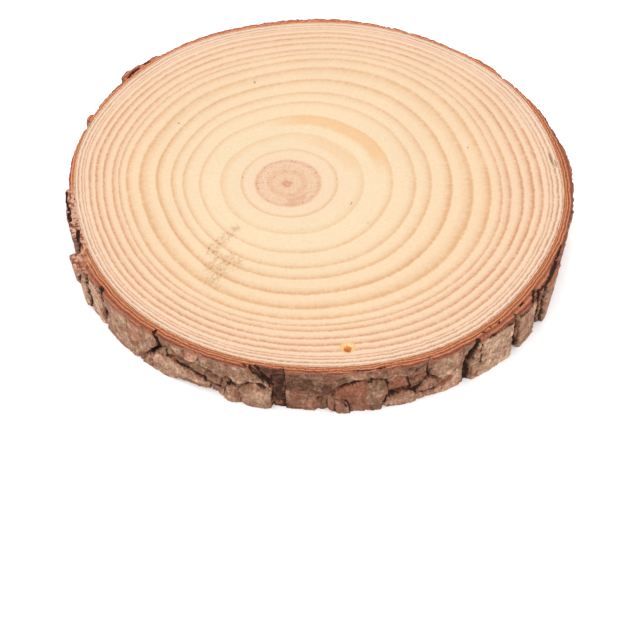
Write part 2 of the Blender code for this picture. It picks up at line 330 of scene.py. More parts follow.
# Orange arcs of compression wood: angles it runs between, shares it lies between, strength
ARCS = (
    (14, 98, 0.345, 0.402, 0.75),
    (18, 78, 0.235, 0.285, 0.40),
    (100, 200, 0.262, 0.292, 0.22),
)
ARC_COLOUR = (251, 200, 146)

# Grey-brown stains that run out along the rays: angle, half width in degrees, from, to, strength
STAINS = (
    (-128.6, 5.0, 0.330, 0.565, 0.80),
    (-119.6, 4.0, 0.485, 0.690, 0.75),
    (-115.0, 3.4, 0.495, 0.565, 0.70),
    (-124.0, 3.2, 0.515, 0.645, 0.60),
)
STAIN_COLOUR = (224, 176, 130)
STAIN_SPECKS = (170, 118, 82)

# Small dark marks: angle, share, half length round the ring in degrees, half width, strength
MARKS = (
    (-27.5, 0.274, 2.6, 0.0034, 0.75),
    (-80.0, 0.269, 3.0, 0.0026, 0.40),
    (171.5, 0.193, 1.6, 0.0060, 0.60),
    (13.5, 0.722, 0.6, 0.0060, 0.55),
    (110.0, 0.657, 0.6, 0.0120, 0.60),
    (148.5, 0.652, 0.6, 0.0100, 0.55),
    (3.2, 0.977, 3.4, 0.0060, 0.80),
    (1.6, 0.989, 2.2, 0.0045, 0.70),
    (-39.5, 0.379, 0.7, 0.0050, 0.35),
)
MARK_COLOUR = (150, 108, 80)

# Resin dots round the heart, and the blush on its lower rim
DOT_COLOUR = (184, 128, 94)
BLUSH_COLOUR = (232, 176, 136)


def shown(colour):
    """The surface colour that comes out as the given 0 to 255 screen colour in this light."""
    screen = [value / 255.0 for value in colour]
    linear = [v / 12.92 if v <= 0.04045 else ((v + 0.055) / 1.055) ** 2.4 for v in screen]
    return (*(min(value / LIGHT_LEVEL, 1.0) for value in linear), 1.0)


def shown_stops(stops):
    return [(at, shown(colour)) for at, colour in stops]


def new_material(name):
    material = bpy.data.materials.new(name)
    material.use_nodes = True
    tree = material.node_tree
    return material, tree, tree.nodes["Principled BSDF"]


def feed(tree, socket, value):
    """Puts a number, a colour or another node's output on a socket."""
    if isinstance(value, bpy.types.NodeSocket):
        tree.links.new(value, socket)
    else:
        socket.default_value = value


def add(tree, kind, inputs, **settings):
    """A node with its settings, and what feeds its inputs."""
    item = tree.nodes.new(kind)
    for name, value in settings.items():
        setattr(item, name, value)
    for name, value in inputs.items():
        feed(tree, item.inputs[name], value)
    return item


def maths(tree, operation, *values):
    return add(tree, "ShaderNodeMath", dict(enumerate(values)), operation=operation).outputs[0]


def times(tree, first, *others):
    for other in others:
        first = maths(tree, "MULTIPLY", first, other)
    return first


def plus(tree, start, value, amount):
    """A start with so much of a value added."""
    return maths(tree, "MULTIPLY_ADD", value, amount, start)


def joined(tree, x, y, z=0.0):
    return add(tree, "ShaderNodeCombineXYZ", {0: x, 1: y, 2: z}).outputs[0]


def split_up(tree, place):
    return add(tree, "ShaderNodeSeparateXYZ", {0: place}).outputs


def centred(tree, value):
    """A value that lay between 0 and 1, moved to lie about 0."""
    return maths(tree, "SUBTRACT", value, 0.5)


def between(tree, value, low, high, low_out=0.0, high_out=1.0):
    """A value eased from one range to another, and held at the ends."""
    inputs = {"Value": value, "From Min": low, "From Max": high, "To Min": low_out, "To Max": high_out}
    return add(tree, "ShaderNodeMapRange", inputs, interpolation_type="SMOOTHSTEP").outputs[0]


def between_straight(tree, value, low, high):
    return add(tree, "ShaderNodeMapRange", {"Value": value, "From Min": low, "From Max": high}).outputs[0]


def band(tree, value, start, end, soft_start, soft_end):
    """1 between start and end, eased to 0 outside them."""
    rise = between(tree, value, start - soft_start, start + soft_start)
    fall = between(tree, value, end - soft_end, end + soft_end, 1.0, 0.0)
    return times(tree, rise, fall)


def blend_colours(tree, share, first, second):
    item = add(tree, "ShaderNodeMix", {0: share}, data_type="RGBA")
    feed(tree, item.inputs[6], first)
    feed(tree, item.inputs[7], second)
    return item.outputs[2]


def scaled(tree, colour, amount):
    return add(tree, "ShaderNodeVectorMath", {0: colour, "Scale": amount}, operation="SCALE").outputs[0]


def noise_at(tree, vector, scale, detail=2.0, rough=0.5):
    inputs = {"Vector": vector, "Scale": scale, "Detail": detail, "Roughness": rough}
    return add(tree, "ShaderNodeTexNoise", inputs).outputs["Fac"]


def ramp(tree, value, stops):
    item = add(tree, "ShaderNodeValToRGB", {"Fac": value})
    elements = item.color_ramp.elements
    elements[0].position, elements[0].color = stops[0]
    elements[1].position, elements[1].color = stops[-1]
    for place, colour in stops[1:-1]:
        elements.new(place).color = colour
    return item.outputs["Color"]


def finish_surface(tree, shader, colour, height, strength, deep):
    """Gives a shader its colour, and a bump of so much strength and depth."""
    tree.links.new(colour, shader.inputs["Base Color"])
    bump = add(tree, "ShaderNodeBump", {"Height": height, "Strength": strength, "Distance": deep})
    tree.links.new(bump.outputs[0], shader.inputs["Normal"])


def set_gloss(shader, roughness, specular):
    shader.inputs["Roughness"].default_value = roughness
    shader.inputs["Specular IOR Level"].default_value = specular


def wood_places(tree):
    """Where each point of the wood is: in space, round the slice, and out from the pith."""
    growth = split_up(tree, add(tree, "ShaderNodeUVMap", {}, uv_map="growth").outputs["UV"])
    turn = times(tree, centred(tree, growth[0]), 2.0 * math.pi)
    return SimpleNamespace(
        place=add(tree, "ShaderNodeTexCoord", {}).outputs["Object"],
        share=growth[1],
        turn=turn,
        degrees=times(tree, turn, 180.0 / math.pi),
        cosine=maths(tree, "COSINE", turn),
        sine=maths(tree, "SINE", turn),
    )


def round_noise(tree, at, across, out, detail=2.0, shift=0.0):
    """Noise about 0 that closes round the slice, so many lumps round it and so many out from the pith."""
    around = joined(tree, times(tree, at.cosine, across), times(tree, at.sine, across),
                    plus(tree, shift, at.share, out))
    return centred(tree, noise_at(tree, around, 1.0, detail))


def wavering_share(tree, at):
    """The share of the way out, made to waver as the rings do: in a comb, ripples and a slow sway."""
    ripple = round_noise(tree, at, 34.0, 12.0, shift=6.0)
    sway = round_noise(tree, at, 2.6, 5.0, detail=3.0, shift=3.0)
    tremor = centred(tree, noise_at(tree, at.place, 900.0))
    wavy = plus(tree, at.share, at.comb, between(tree, at.share, 0.1, 0.8, 0.003, 0.009))
    wavy = plus(tree, wavy, ripple, 0.006)
    wavy = plus(tree, wavy, sway, 0.012)
    return plus(tree, wavy, tremor, between(tree, at.share, 0.02, 0.15, 0.03, 0.0))


def grey(value):
    return (value, value, value, 1.0)


def late_wood(tree, share):
    """How far into late wood each place is, with a ramp for each run of years."""
    total = None
    for low, high in YEAR_GROUPS:
        stops = [(0.0, grey(0.0))]
        for end, width, dark in YEARS:
            if low < end <= high:
                # A year darkens slowly, is darkest just before its end, and stops short
                start = max((end - width - low) / (high - low), stops[-1][0] + 0.002)
                stops.append((start, grey(0.03 * dark)))
                stops.append((start + 0.5 * ((end - low) / (high - low) - start), grey(0.40 * dark)))
                stops.append(((end - 0.14 * width - low) / (high - low), grey(dark)))
                stops.append((min((end + YEAR_FALL - low) / (high - low), 0.999), grey(0.0)))
        stops.append((1.0, grey(0.0)))
        level = ramp(tree, between_straight(tree, share, low, high), stops)
        total = level if total is None else maths(tree, "ADD", total, level)
    return total


def patchy_late_wood(tree, at):
    """Late wood as it shows: broken into patches and dashes, and fainter on the far side."""
    patchy = plus(tree, 1.0, round_noise(tree, at, 5.0, 9.0, shift=9.0), 0.7)
    patchy = plus(tree, patchy, round_noise(tree, at, 38.0, 34.0, shift=17.0), 1.3)
    patchy = plus(tree, patchy, at.dashes, 2.2)
    far = maths(tree, "COSINE", maths(tree, "SUBTRACT", at.turn, math.radians(FAINT_SIDE)))
    fade = between(tree, far, -0.2, 1.0, 1.0, 1.0 - FAINTNESS)
    return times(tree, late_wood(tree, at.wavy), patchy, fade)


def with_arcs(tree, at, colour):
    # Angles run on past 180, so that an arc can cross the left side
    past = maths(tree, "LESS_THAN", at.degrees, -160.0)
    around = plus(tree, at.degrees, past, 360.0)
    for start, end, inner, outer, strength in ARCS:
        mask = times(tree, band(tree, around, start, end, 14.0, 18.0),
                     band(tree, at.wavy, inner, outer, 0.014, 0.004), strength)
        colour = blend_colours(tree, mask, colour, shown(ARC_COLOUR))
    return colour


def with_stains(tree, at, colour):
    broken = between(tree, round_noise(tree, at, 60.0, 60.0, shift=21.0), -0.16, 0.12)
    specks = between(tree, noise_at(tree, at.place, 800.0), 0.50, 0.62)
    specks = times(tree, specks, plus(tree, 0.25, at.late, 1.1))
    strayed = plus(tree, at.degrees, round_noise(tree, at, 20.0, 26.0, shift=14.0), 2.2)
    for angle, half, start, end, strength in STAINS:
        soft = 0.5 * half
        mask = times(tree, band(tree, strayed, angle - soft, angle + soft, soft, soft),
                     band(tree, at.share, start, end, 0.02, 0.03), broken, strength)
        colour = blend_colours(tree, mask, colour, shown(STAIN_COLOUR))
        colour = blend_colours(tree, times(tree, mask, specks), colour, shown(STAIN_SPECKS))
    return colour


def with_marks(tree, at, colour):
    ragged = round_noise(tree, at, 90.0, 90.0, shift=4.0)
    for angle, out, half, width, strength in MARKS:
        aside = maths(tree, "DIVIDE", maths(tree, "SUBTRACT", at.degrees, angle), half)
        beyond = maths(tree, "DIVIDE", maths(tree, "SUBTRACT", at.share, out), width)
        off = {0: joined(tree, aside, beyond)}
        off = add(tree, "ShaderNodeVectorMath", off, operation="LENGTH").outputs["Value"]
        mask = between(tree, plus(tree, off, ragged, 0.9), 0.35, 1.0, strength, 0.0)
        colour = blend_colours(tree, mask, colour, shown(MARK_COLOUR))
    return colour


def with_heart_details(tree, at, colour):
    """Resin dots, most of them round the heart's rim, and a blush along its lower half."""
    dots = add(tree, "ShaderNodeTexVoronoi", {"Vector": at.place, "Scale": 900.0}).outputs["Distance"]
    dots = between(tree, dots, 0.18, 0.38, 1.0, 0.0)
    on_rim = band(tree, at.share, 0.120, 0.134, 0.008, 0.006)
    within = times(tree, band(tree, at.share, 0.050, 0.120, 0.012, 0.012), 0.5)
    scattered = between(tree, noise_at(tree, at.place, 260.0), 0.36, 0.52)
    dots = times(tree, dots, maths(tree, "MAXIMUM", on_rim, within), scattered, 0.75)
    colour = blend_colours(tree, dots, colour, shown(DOT_COLOUR))
    blush = times(tree, band(tree, at.wavy, 0.086, 0.132, 0.010, 0.004),
                  between(tree, noise_at(tree, at.place, 150.0), 0.38, 0.60),
                  between(tree, at.sine, 0.7, -0.5, 0.25, 1.0), 0.7)
    return blend_colours(tree, blush, colour, shown(BLUSH_COLOUR))


def wood_tone(tree, at):
    """How light each place is: grain and clouds all over, speckles in the heart, fibres and dashes."""
    clouds = centred(tree, noise_at(tree, at.place, 45.0, 3.0))
    speckles = centred(tree, noise_at(tree, at.place, 2400.0, 2.0, 0.6))
    tone = plus(tree, 1.0, at.grain, 0.22)
    tone = plus(tree, tone, clouds, 0.06)
    tone = plus(tree, tone, speckles, between(tree, at.share, 0.125, 0.140, 0.42, 0.0))
    tone = plus(tree, tone, at.comb, 0.10)
    return plus(tree, tone, at.dashes, plus(tree, 0.04, at.late, 0.22))


def finish_wood():
    material, tree, shader = new_material("sawn_pine")
    at = wood_places(tree)
    at.comb = round_noise(tree, at, 190.0, 16.0)
    at.dashes = round_noise(tree, at, 150.0, 70.0, shift=30.0)
    at.grain = centred(tree, noise_at(tree, at.place, 1500.0, 3.0, 0.6))
    at.wavy = wavering_share(tree, at)
    at.late = patchy_late_wood(tree, at)

    early_colour = ramp(tree, at.wavy, shown_stops(HEART_COLOURS))
    late_colour = ramp(tree, at.share, shown_stops(LATE_COLOURS))
    colour = blend_colours(tree, at.late, early_colour, late_colour)
    for more in (with_arcs, with_stains, with_marks, with_heart_details):
        colour = more(tree, at, colour)
    colour = scaled(tree, colour, wood_tone(tree, at))
    height = plus(tree, plus(tree, at.grain, at.comb, 0.5), at.late, 0.6)
    finish_surface(tree, shader, colour, height, 0.25, 0.06 * MM)
    set_gloss(shader, 0.72, 0.25)
    return material


# Painted light: light soaks through the thin walls of the bore, so they are given brighter, more orange
# colour than sawn wood has
BORE_DARK = (1.0, 0.40, 0.08, 1.0)
BORE_PALE = (1.0, 0.72, 0.42, 1.0)
MOUTH_COLOUR = (248, 200, 146)


def finish_bore():
    material, tree, shader = new_material("bored_pine")
    place = add(tree, "ShaderNodeTexCoord", {}).outputs["Object"]
    height = split_up(tree, place)[2]
    deep = between(tree, height, TOP - MOUTH_LIP - 0.3 * MM, TOP - MOUTH_LIP)
    torn = between_straight(tree, noise_at(tree, place, 1800.0), 0.35, 0.65)
    inside = blend_colours(tree, torn, BORE_DARK, BORE_PALE)
    colour = blend_colours(tree, deep, inside, shown(MOUTH_COLOUR))
    tree.links.new(colour, shader.inputs["Base Color"])
    shader.inputs["Roughness"].default_value = 0.8
    return material


def is_bored(face):
    reach = math.hypot(face.center.x - HOLE_MIDDLE[0], face.center.y - HOLE_MIDDLE[1])
    level = min(abs(face.center.z), abs(face.center.z - TOP))
    return reach < 1.5 * MOUTH_RADIUS and (abs(face.normal.z) < 0.98 or level > 0.02 * MM)


wood.data.materials.clear()
wood.data.materials.append(finish_wood())
wood.data.materials.append(finish_bore())
for face in wood.data.polygons:
    face.material_index = 1 if is_bored(face) else 0


# The bark
# Pine bark that grew on the wood: thin red-brown layers stacked up, dried and split into plates
# with a grey-tan face, and dark fissures between them. It was sawn through with the wood.

# The bark's thickness in mm at angles round the slice
BARK_THICKNESS = (
    (-180, 1.7), (-168, 2.1), (-158, 2.8), (-149, 3.7), (-130, 3.5), (-112, 2.5), (-85, 2.4), (-70, 2.6),
    (-40, 5.0), (-27, 3.3), (-18, 2.4), (-11, 3.0), (1, 3.8), (12, 2.7), (36, 1.5), (43, 2.1),
    (50, 1.4), (65, 1.7), (95, 2.6), (125, 1.7), (142, 1.9), (168, 1.1), (180, 1.7),
)
BARK_LEAST = 0.5
DEPTH = THICKNESS / MM
# How many mm of arc a degree spans at the bark
DEGREE = math.radians(WOOD_RADIUS / MM + 2.6)

# Plates on the front: how proud in mm, how pale above 0 or dark below it, how red from 0 up, and
# corners as (angle, depth in mm). A later plate lies over the ones before it.
# A few of the darkest plates below are painted shade: under the overhanging sawn rim, and in recesses.
PLATES = (
    (0.9, -1.6, 0.5, ((-173, -1), (-162, -1), (-163, 13), (-174, 15))),
    (0.5, -0.3, 0.3, ((-162, -1), (-157, -1), (-157, 19), (-163, 19))),
    (0.4, 0.9, 0.1, ((-149, -1), (-142, -1), (-141, 9), (-142, 19), (-149, 19))),
    (1.4, 0.9, 0.2, ((-152.5, -1), (-145.6, -1), (-146.2, 9), (-148, 19), (-153, 19))),
    (2.5, 0.9, 0.3, ((-152.5, -1), (-147.8, -1), (-148.8, 8), (-153, 9))),
    (0.2, 0.1, 0.1, ((-139, -1), (-124.3, -1), (-123.3, 4.9), (-126.3, 9.9), (-130, 19), (-141, 19))),
    (0.4, 0.4, 0.6, ((-131.2, -1), (-127, -1), (-127.3, 7.3), (-128.7, 9.3), (-131.7, 12.2))),
    (0.3, 0.0, 0.0, ((-122.1, -1), (-113.8, -1), (-114.3, 4.2), (-116.3, 5.6), (-118.4, 5.2),
                     (-119.3, 3.8), (-120.1, 2.8), (-122.4, 4.4))),
    (-0.6, -0.5, 0.1, ((-121.3, 5), (-114, 6.6), (-111.5, 7.6), (-109.3, 10.6), (-109.8, 14.5),
                       (-112.2, 13.5), (-113.5, 11.5), (-117.5, 10.5), (-121.8, 8.9))),
    (0.3, 0.35, 0.1, ((-125.6, 9.9), (-121.6, 8.4), (-117.3, 10), (-113.3, 11.5), (-111.9, 14),
                      (-111.9, 19), (-129, 19))),
    (-0.7, 0.1, 0.2, ((-119.3, 16), (-110.5, 15.5), (-110, 19), (-120.3, 19))),
    (0.6, 1.0, 0.7, ((-117.2, 1.8), (-112.8, -1), (-114, 3.6), (-115.8, 5.9), (-116.9, 4.7))),
    (0.4, 0.0, 0.0, ((-113.8, -1), (-107.9, -1), (-107.7, 6.4), (-109.2, 9.4), (-110.2, 7.9),
                     (-111.1, 6.1), (-113.5, 6.7))),
    (0.5, 0.3, 0.0, ((-107.9, -1), (-103.2, -1), (-101.2, 3.7), (-100.5, 6.7), (-103.4, 7.1),
                      (-105.5, 9.5), (-106.7, 8.9), (-107.9, 7))),
    (1.0, 0.15, 0.1, ((-108.7, 14.5), (-107.9, 10.1), (-106.7, 9.5), (-105, 9.1), (-103.3, 7.3),
                     (-101.6, 7), (-100.2, 9.1), (-99.1, 11.1), (-98.9, 19), (-109.1, 19))),
    (-1.0, -1.3, 0.1, ((-102.6, -1), (-96.4, -1), (-96.3, 3.8), (-99.3, 6.5), (-100.6, 4.5))),
    (-1.8, -1.7, 0.0, ((-99.2, 4.5), (-96.2, 2.8), (-96.3, 16.5), (-98.9, 16.5))),
    (-0.6, -1.3, 0.0, ((-99.1, 16), (-96.2, 16), (-96.2, 19), (-99, 19))),
    (-0.3, -0.9, 0.0, ((-96.4, -1), (-85, -1), (-86, 6.9), (-88, 10.9), (-93, 10.3), (-96, 9.8))),
    (0.0, -0.45, 0.4, ((-96, 10), (-93, 10.5), (-88, 11.1), (-88, 14.1), (-87.7, 19), (-96.2, 19))),
    # Painted shade: a dark strip of shadow beside the raised plate that starts at -88 degrees
    (-0.3, -0.9, 0.0, ((-90.2, 11.7), (-88, 10.2), (-87.8, 19), (-90, 19))),
    (-0.1, -0.3, 0.1, ((-88, -1), (-73.6, -1), (-75.5, 4.3), (-80, 4.6), (-84.5, 5.6), (-87, 7.9))),
    (0.8, -0.8, 0.6, ((-88.1, 12.8), (-86.5, 8.3), (-84.3, 4.9), (-80.1, 3.9), (-77.1, 4.7), (-75.8, 9.2),
                      (-77.1, 14.2), (-76.9, 19), (-86.6, 19), (-88.1, 15.8))),
    (1.0, -0.3, 0.0, ((-80.5, 4.1), (-77.1, 4.5), (-75.8, 9), (-77.1, 14), (-76.9, 19), (-80.5, 19))),
    (1.4, -0.3, 0.3, ((-86.7, 11.3), (-84.7, 11.6), (-83.8, 14.8), (-83.4, 19), (-86.5, 19))),
    (-1.3, -0.3, 1.4, ((-76.9, 4.7), (-72.2, 5.8), (-71.4, 9.2), (-71.5, 12.4), (-75.8, 12.4))),
    # Painted shade: the dark strip at the foot of the sunken recess, where it lies in shadow
    (-1.3, -1.8, 0.3, ((-75.9, 11.7), (-71.8, 12), (-71.5, 13.4), (-75.7, 13.4))),
    (0.7, 0.3, 0.3, ((-76.4, 12.8), (-71.2, 12.4), (-70.4, 14.4), (-69.8, 19), (-77.2, 19))),
    (0.2, -0.6, 0.1, ((-74.1, -1), (-68.3, -1), (-68.2, 7.3), (-69.9, 10.6), (-71.3, 11.7), (-72.3, 6.1))),
    (0.6, 0.1, 0.2, ((-70.8, 12.9), (-69.5, 11), (-68.1, 7.7), (-66.1, 10.4), (-65.7, 14.4), (-68.8, 14.2))),
    (0.3, 0.5, 0.3, ((-70.3, 15.4), (-65.8, 15.1), (-62.3, 11.7), (-60.1, 11.2), (-59.8, 19), (-70.3, 19))),
    (0.5, 0.25, 0.1, ((-67.7, -1), (-61, -1), (-60.7, 3.9), (-61.4, 8.9), (-62.6, 10.9),
                     (-65.5, 10.2), (-67.9, 6.6))),
    (0.5, 0.3, 0.0, ((-57.9, -1), (-56.3, -1), (-56, 19), (-58.3, 19))),
    (0.5, 0.45, 0.0, ((-56.7, 0.6), (-48, 0.6), (-47.6, 7), (-47.6, 19), (-56.9, 19))),
    # Painted shadow under the overhanging sawn rim
    (-0.1, -1.9, 0.8, ((-56.1, -1), (-47.4, -1), (-47.7, 1.1), (-52, 1.5), (-55.5, 1.1))),
    (0.5, 0.4, 0.2, ((-46.4, 1.2), (-40.7, 1.2), (-39.4, 19), (-45.5, 19))),
    # Painted shadow under the sawn rim
    (0.0, -2.2, 0.2, ((-47, -1), (-41, -1), (-40.8, 2.2), (-44, 1.8), (-46.5, 2.4))),
    (1.3, 0.2, 0.1, ((-37.5, -1), (-29.5, -1), (-29.5, 19), (-36.5, 19))),
    (1.0, -0.2, 0.3, ((134, -1), (139, -1), (139, 7), (134.5, 6))),
    (1.7, -0.6, 0.3, ((139, -1), (142.5, -1), (142.5, 7.5), (139, 7))),
    (2.4, -0.9, 0.2, ((142.5, -1), (146.2, -1), (146.6, 7), (142.5, 7.5))),
    (1.6, -0.2, 0.2, ((161, -1), (163, -1), (164, 6), (160, 5))),
)

# Fissures on the front: width in mm at the first and last point, depth in mm there, and points
FISSURES = (
    (5.0, 3.5, 1.4, 2.2, ((-154.5, -1), (-154.5, 9), (-156, 19))),
    (3.6, 0.8, 1.4, 2.6, ((-140.3, -1), (-139.8, 9), (-141, 16))),
    (1.6, 1.8, 1.9, 3.0, ((-124.4, -1), (-123.3, 2.7), (-123, 5.5), (-124.3, 8.2), (-125.5, 10.3))),
    (0.8, 0.9, 1.2, 1.2, ((-125.7, 10.2), (-127.3, 12.9), (-129.3, 16.5))),
    (0.4, 0.5, 0.6, 0.6, ((-125.7, 10.9), (-126, 17))),
    (0.5, 1.3, 1.0, 1.2, ((-111.8, 13.1), (-112.3, 19))),
    (0.8, 0.8, 1.2, 1.2, ((-122.4, 4.9), (-121.1, 3.7), (-119.9, 3.5), (-119.1, 5), (-117.6, 6.4),
                          (-116.3, 6.1))),
    (0.7, 0.7, 0.8, 0.8, ((-121.7, 8.5), (-120.1, 7.8), (-118.5, 7.8))),
    (0.7, 1.1, 1.4, 1.4, ((-113.9, 7.1), (-112.9, 7.4), (-111.9, 6.6), (-110.7, 7.6), (-109.9, 9.6),
                          (-109.2, 10.3))),
    (0.8, 1.0, 1.4, 1.4, ((-109.1, 8.9), (-107.9, 7.9), (-107.2, 8.9), (-106.3, 9.8), (-105.4, 10.1))),
    (0.9, 0.5, 1.2, 0.8, ((-105.4, 10.1), (-104.2, 8.5), (-103.3, 7.4), (-101.6, 7.1))),
    (0.7, 0.8, 1.0, 1.0, ((-101.5, 7.2), (-100, 9.5), (-98.9, 11.5))),
    (0.3, 0.4, 0.4, 0.4, ((-105.5, 10.5), (-105.2, 17))),
    (1.0, 1.1, 1.0, 2.4, ((-103.3, -1), (-102.7, 1.7), (-101.4, 3.9), (-99.9, 6.1), (-99.1, 8.9))),
    (0.5, 1.0, 1.4, 1.4, ((-90.2, 12.5), (-88.1, 10.5), (-86.4, 7.9), (-84.5, 5.6), (-82.5, 4.6),
                          (-80.5, 4.4), (-78, 4.7), (-76.8, 4.9))),
    (0.5, 0.5, 0.6, 0.6, ((-88.3, 11.9), (-86.3, 9.2))),
    (0.5, 0.9, 0.9, 0.9, ((-85.4, 11.7), (-84.3, 15.2))),
    (0.5, 0.8, 1.0, 1.0, ((-77.1, 4.9), (-75.8, 9.4), (-77.1, 14.4), (-76.9, 19))),
    (1.1, 0.9, 1.4, 1.4, ((-71.3, 12.5), (-69.8, 11), (-68.8, 9.3), (-68.3, 7.9))),
    (0.6, 0.5, 0.7, 0.7, ((-72.5, 6.2), (-70.7, 3.2), (-69.2, 1.7))),
    (0.5, 0.5, 0.6, 0.6, ((-72.2, 6.5), (-69.9, 5.5), (-68.6, 5.5))),
    (0.7, 0.8, 1.0, 1.6, ((-67.9, -1), (-68.6, 2.1), (-68.3, 6.4), (-68, 7.7), (-66.7, 9.4),
                          (-65.3, 11.4))),
    (0.5, 0.9, 0.9, 0.9, ((-70.5, 14.7), (-68.4, 15.4), (-66.1, 15.5))),
    (1.2, 3.4, 1.2, 3.4, ((-57, -1), (-57.8, 1.1), (-58.7, 4.3), (-59.5, 8.3))),
    (3.4, 1.6, 3.4, 0.8, ((-59.5, 8.3), (-59.4, 12.7), (-59.2, 19))),
    (0.6, 0.7, 0.7, 0.7, ((-56.6, 2.6), (-56.8, 5.6))),
    (0.5, 0.8, 0.7, 0.7, ((-56.4, 7.1), (-56.2, 11.3))),
    (1.0, 2.2, 0.4, 3.0, ((-47.6, -0.6), (-47.5, 1.4))),
    (2.2, 2.0, 3.0, 3.0, ((-47.5, 1.4), (-47.2, 4.5), (-47.5, 8.3), (-46.8, 12.3), (-45.8, 19))),
    (2.4, 3.4, 0.8, 3.2, ((-39.5, -0.4), (-39.4, 1.6))),
    (3.4, 2.2, 3.2, 2.0, ((-39.4, 1.6), (-38.6, 8), (-38, 19))),
)

# Cracks that show on the sawn bark only, cut in and painted dark as shade: width in mm, and points (angle, mm
# out from the wood)
CUT_CRACKS = (
    (0.9, ((-42.6, 4.9), (-41.2, 3.6), (-39.6, 2.4))),
    (0.6, ((-45.0, 2.6), (-43.6, 2.8))),
    (1.4, ((-159.0, 1.0), (-155.8, 2.1), (-152.6, 3.0))),
    (0.9, ((-172.0, 2.5), (-169.5, 2.9), (-166.0, 2.4))),
    (1.3, ((-165.0, 2.7), (-162.5, 2.6))),
    (0.6, ((-104.6, 1.5), (-103.8, 1.9))),
    (1.5, ((-38.5, 4.4), (-34.0, 4.2), (-29.5, 3.0))),
    (0.8, ((-29.5, 3.0), (-25.0, 2.4))),
    (0.5, ((-55.8, 1.6), (-51.0, 1.9))),
    (0.5, ((-83.0, 1.5), (-77.0, 1.6))),
    (0.6, ((-166.8, 2.2), (-164.6, 2.0))),
    (1.1, ((145.0, 1.7), (143.4, 2.3), (140.6, 2.3))),
    (0.8, ((138.6, 2.2), (137.0, 2.1))),
)

# The rest of the bark, round the sides and back, follows the solid model's rule: the degrees that it
# runs between and steps by, and then heights, widths and depths of its plates and fissures in mm
REST_FROM = -31.0
REST_TO = 186.0
REST_STEP = (7.0, 13.0)
REST_PROUD = (-0.6, 0.8)
REST_LIP = (1.2, 3.6)
REST_HIGH = 0.35
REST_PINCH = 0.5
REST_WIDTH = (1.4, 3.4)
REST_FISSURE = 2.4
REST_TAPER = (0.4, 1.2)
REST_CROSS = (5.0, 13.0)
REST_SLOPE = (-2.0, 2.0)
REST_WANDER = 1.1
REST_LEVELS = (-1.0, 6.0, 12.0, 19.0)
REST_SEED = 12
# How pale and how red its plates are
TINT_PALE = (-0.7, 0.8)
TINT_RED = (0.0, 0.6)
TINT_SEED = 3

# The plates' edges in mm: how steep, how frayed, and the thin layers that they break down in
PLATE_EDGE = 0.3
FRAY = 0.22
FRAY_SIZE = 2.2
LAYER = 0.24
LAYER_CRISP = 0.65
LAYER_WEAR = 0.5
LAYER_REACH = 1.2
LAYER_RAGGED = 0.8
LAYER_RAGGED_SIZE = 1.8

# Painted shadow lines where plates meet: width in mm, strength, and how patchy the painted shade of the lines
# and cracks is
SHADE_LINE_WIDTH = 0.3
SHADE_LINE_DARK = 0.9
PATCH_SIZE = 2.5
PATCH_LEAST = 0.45

# Roughness over the whole surface, and the tear of the saw in the cut face: height and size in mm
ROUGHNESS = 0.22
ROUGH_SIZE = 4.0
CRUMB = 0.11
CRUMB_SIZE = 0.9
CUT_RELIEF = 0.35
CUT_RELIEF_SIZE = 0.8
CUT_CRACK_DEPTH = 0.9

# The front is seen closest, so the mesh has more of its steps there
BARK_TURN_STEPS = 1470
BARK_FRONT = -96.0
BARK_CROWDING = 0.45
BARK_DOWN_STEPS = 54
BARK_CUT_STEPS = 8
BARK_UNDER_STEPS = 3

# The random numbers that the lumps are made from
NOISE_TABLE = np.random.default_rng(8).uniform(-1.0, 1.0, 4096)


def bark_thickness(angle):
    """The bark's mean thickness in mm at an angle, eased between the stations round the slice."""
    stations = np.array(BARK_THICKNESS, dtype=float)
    turned = (angle + 180.0) % 360.0 - 180.0
    place = np.clip(np.searchsorted(stations[:, 0], turned, side="right") - 1, 0, len(stations) - 2)
    start = stations[place]
    end = stations[place + 1]
    part = (turned - start[:, 0]) / (end[:, 0] - start[:, 0])
    ease = 0.5 - 0.5 * np.cos(np.pi * part)
    return start[:, 1] + (end[:, 1] - start[:, 1]) * ease


def smooth_step(low, high, value):
    part = np.clip((value - low) / (high - low), 0.0, 1.0)
    return part * part * (3.0 - 2.0 * part)


def along(x, y, start, end):
    """How far along a straight stretch each point lies, from 0 to 1, and its distance from it."""
    run = end[0] - start[0]
    drop = end[1] - start[1]
    part = np.clip(((x - start[0]) * run + (y - start[1]) * drop) / (run * run + drop * drop), 0.0, 1.0)
    return part, np.hypot(x - start[0] - part * run, y - start[1] - part * drop)


def inside_by(x, y, corners):
    """How far inside an outline each point lies, in mm, and less than 0 outside it."""
    nearest = np.full_like(x, 1e9)
    inside = np.zeros(x.shape, dtype=bool)
    for start, end in zip(corners, corners[1:] + corners[:1]):
        nearest = np.minimum(nearest, along(x, y, start, end)[1])
        if start[1] != end[1]:
            crossing = start[0] + (y - start[1]) / (end[1] - start[1]) * (end[0] - start[0])
            level = (start[1] > y) != (end[1] > y)
            inside ^= level & (x < crossing)
    return np.where(inside, nearest, -nearest)


def unrolled(points):
    return tuple((angle * DEGREE, depth) for angle, depth in points)


